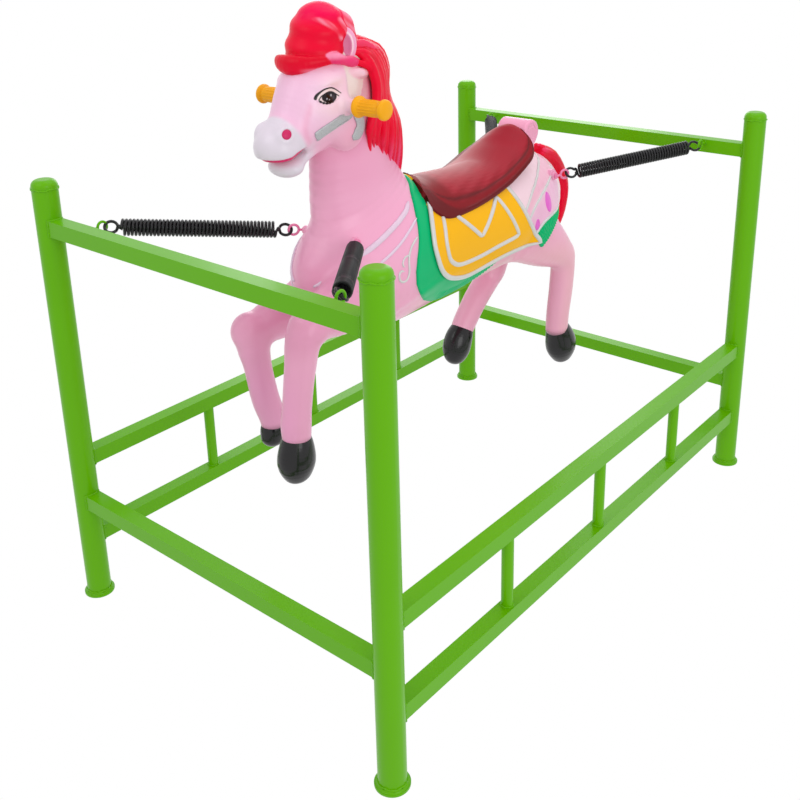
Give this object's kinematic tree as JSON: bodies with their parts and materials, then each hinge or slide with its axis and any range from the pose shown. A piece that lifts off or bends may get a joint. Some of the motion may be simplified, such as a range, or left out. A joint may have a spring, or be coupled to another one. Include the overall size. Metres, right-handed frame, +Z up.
{
  "type": "spring hobby horse",
  "caption": "Moulded toy horse with a saddle and two handgrips, hung on extension springs inside a welded tube frame so that it bounces and rocks.",
  "frame": {"origin": "on the floor under the middle of the frame", "axes": "+Z up, +Y from the horse's head to its tail, +X to the horse's left"},
  "size_m": [0.86, 1.3448, 1.1833],
  "materials": {
    "frame_paint": "gloss",
    "spring_black": "satin",
    "horse_skin": "gloss",
    "ear_skin": "gloss",
    "hair": "gloss",
    "hoof_black": "gloss",
    "under_green": "gloss",
    "cloth_yellow": "gloss",
    "rump_pink": "gloss",
    "saddle_wine": "gloss",
    "roll_pink": "gloss",
    "silver": "gloss",
    "eye_black": "gloss",
    "steel": "satin",
    "grip_yellow": "satin",
    "eye_paint": "gloss"
  },
  "bodies": {
    "frame": {"post_front_left": "frame_paint", "post_front_right": "frame_paint", "post_rear_left": "frame_paint", "post_rear_right": "frame_paint", "post_caps": "frame_paint", "foot_plates": "frame_paint", "front_top_rail": "frame_paint", "rear_top_rail": "frame_paint", "front_bottom_rail": "frame_paint", "rear_bottom_rail": "frame_paint", "left_upper_rail": "frame_paint", "right_upper_rail": "frame_paint", "left_lower_rail": "frame_paint", "right_lower_rail": "frame_paint", "left_balusters": "frame_paint", "right_balusters": "frame_paint", "front_frame_eyes": "frame_paint", "rear_frame_eyes": "frame_paint", "spring_front_left": "spring_black", "spring_front_right": "spring_black", "spring_rear_left": "spring_black", "spring_rear_right": "spring_black"},
    "rear_bar": {"rear_cross_bar": "steel", "rear_body_eyes": "eye_paint"},
    "horse": {"torso_shell": "horse_skin", "neck_shell": "horse_skin", "head_shell": "horse_skin", "lower_jaw": "horse_skin", "ear_left": "ear_skin", "ear_right": "ear_skin", "forelock": "hair", "mane": "hair", "tail": "hair", "front_left_leg": "horse_skin", "front_right_leg": "horse_skin", "rear_left_leg": "horse_skin", "rear_right_leg": "horse_skin", "front_left_hoof": "hoof_black", "front_right_hoof": "hoof_black", "rear_left_hoof": "hoof_black", "rear_right_hoof": "hoof_black", "under_cloth": "under_green", "saddle_cloth": "cloth_yellow", "rump_cloth": "rump_pink", "saddle": "saddle_wine", "bedroll": "roll_pink", "breast_collar": "silver", "bridle": "silver", "horse_eyes": "eye_black", "handlebar": "steel", "grip_left": "grip_yellow", "grip_right": "grip_yellow", "spine_tube": "steel", "rear_sleeve": "steel", "front_cross_bar": "steel", "front_body_eyes": "eye_paint"}
  },
  "joints": [
    {"name": "bounce", "type": "slide", "parent": "frame", "child": "rear_bar", "axis": [0, 0, 1], "range_m": [-0.08, 0.06], "stiffness_N_per_m": 3000, "springref_m": 0.0436, "deforming": ["spring_front_left", "spring_front_right", "spring_rear_left", "spring_rear_right"]},
    {"name": "rock", "type": "hinge", "parent": "rear_bar", "child": "horse", "pos_m": [0, 0.32, 0.754], "axis": [1, 0, 0], "range_deg": [-8, 8], "stiffness_Nm_per_rad": 400, "springref_deg": -6.47}
  ]
}
